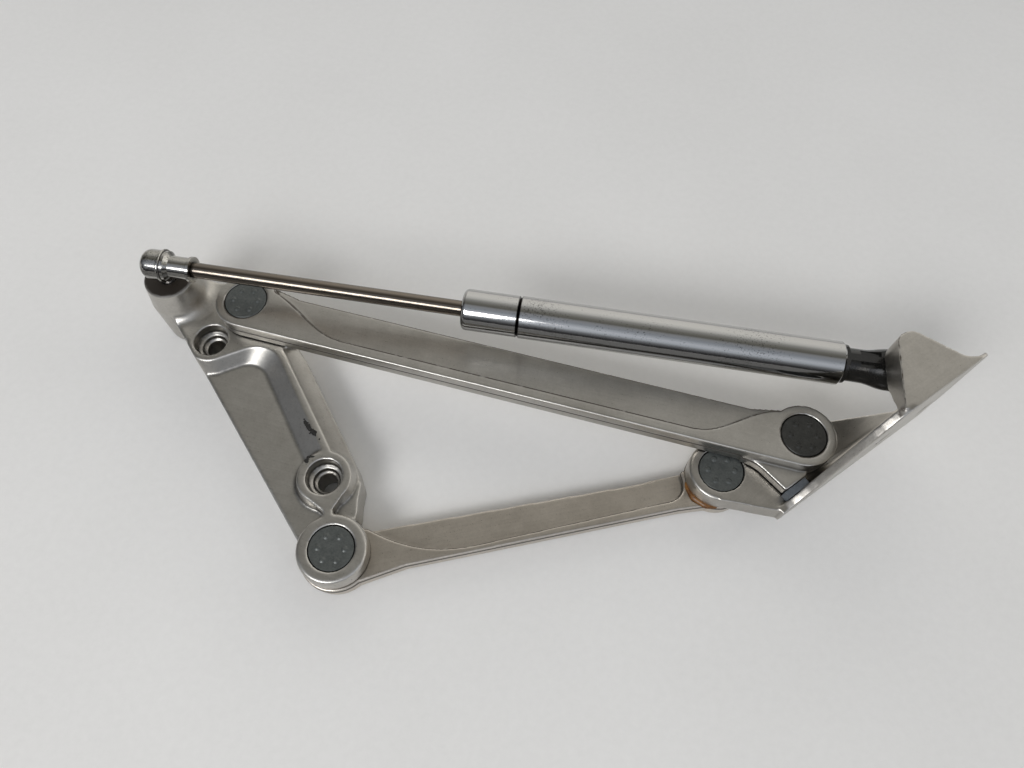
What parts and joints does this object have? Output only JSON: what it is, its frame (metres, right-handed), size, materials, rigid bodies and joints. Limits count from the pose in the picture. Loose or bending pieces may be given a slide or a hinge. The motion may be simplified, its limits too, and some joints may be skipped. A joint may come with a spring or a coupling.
{
  "type": "trunk lid hinge",
  "caption": "Forged linkage hinge for a trunk lid: a body bracket and a lid bracket joined by an upper and a lower link, with a gas strut that holds it open.",
  "frame": {"origin": "on the body mounting face, under the upper body pivot", "axes": "+X along the upper link from the upper body pivot to the upper lid pivot, +Z along the pivot axes and out of the body mounting face towards the strut, +Y completes the right-handed frame"},
  "size_m": [0.3916, 0.1647, 0.075],
  "materials": {
    "forged_aluminium": "satin forged, worn",
    "pin_steel": "dark phosphated steel",
    "bearing_polymer": "bronze-coloured bearing polymer",
    "bumper_rubber": "blue-grey elastomer",
    "stud_steel": "zinc plated, dulled",
    "bright_steel": "bright plated, turned",
    "spring_steel": "drawn wire",
    "rod_chrome": "hard chrome, slightly tarnished",
    "tube_chrome": "polished",
    "piston_metal": "turned",
    "seal_rubber": "black",
    "socket_plastic": "black moulded"
  },
  "bodies": {
    "base": {"body_bracket": "forged_aluminium", "upper_body_pin": "pin_steel", "upper_body_washer": "bearing_polymer", "lower_body_bush": "bearing_polymer", "body_ball_stud": "stud_steel"},
    "upper_arm": {"upper_link": "forged_aluminium", "upper_body_bush": "bearing_polymer", "upper_lid_bush": "bearing_polymer"},
    "lower_arm": {"lower_link": "forged_aluminium", "lower_body_pin": "pin_steel", "lower_body_washer": "bearing_polymer", "lower_lid_pin_foot": "pin_steel", "lower_lid_washer": "bearing_polymer"},
    "lid_side": {"lid_bracket": "forged_aluminium", "upper_lid_pin": "pin_steel", "upper_lid_washer": "bearing_polymer", "lower_lid_pin": "pin_steel", "lower_lid_bush": "bearing_polymer", "stop_bumper": "bumper_rubber"},
    "strut_rod": {"rod_end_socket": "bright_steel", "rod_end_clip": "spring_steel", "piston_rod": "rod_chrome", "piston": "piston_metal", "piston_ring": "seal_rubber"},
    "strut_cylinder": {"strut_tube": "tube_chrome", "rod_guide": "piston_metal", "rod_seal": "seal_rubber", "tube_end_plug": "piston_metal", "tube_end_socket": "socket_plastic", "lid_ball_stud": "stud_steel"}
  },
  "joints": [
    {"name": "upper_link_pivot", "type": "hinge", "parent": "base", "child": "upper_arm", "pos_m": [0, 0, 0.03], "axis": [0, 0, 1], "range_deg": [-35.87, 0]},
    {"name": "lid_pivot", "type": "hinge", "parent": "upper_arm", "child": "lid_side", "pos_m": [0.275, 0, 0.03], "axis": [0, 0, 1], "range_deg": [0, 114.98]},
    {"name": "lower_link_pivot", "type": "hinge", "parent": "base", "child": "lower_arm", "pos_m": [0.0826, -0.1031, 0.012], "axis": [0, 0, 1], "range_deg": [-58.05, 0]},
    {"name": "strut_pivot", "type": "hinge", "parent": "base", "child": "strut_rod", "pos_m": [-0.0404, 0.0001, 0.05], "axis": [0, 0, 1], "range_deg": [-33.79, 0]},
    {"name": "strut_slide", "type": "slide", "parent": "strut_rod", "child": "strut_cylinder", "axis": [0.9949, 0.1004, 0], "range_m": [-0.08204, 0]}
  ],
  "couplings": [
    {"joint": "lid_pivot", "follows": "upper_link_pivot", "ratio": -3.2041},
    {"joint": "lower_link_pivot", "follows": "upper_link_pivot", "ratio": 1.617},
    {"joint": "strut_pivot", "follows": "upper_link_pivot", "ratio": 0.94053},
    {"joint": "strut_slide", "follows": "upper_link_pivot", "m_per_rad": 0.13088}
  ]
}
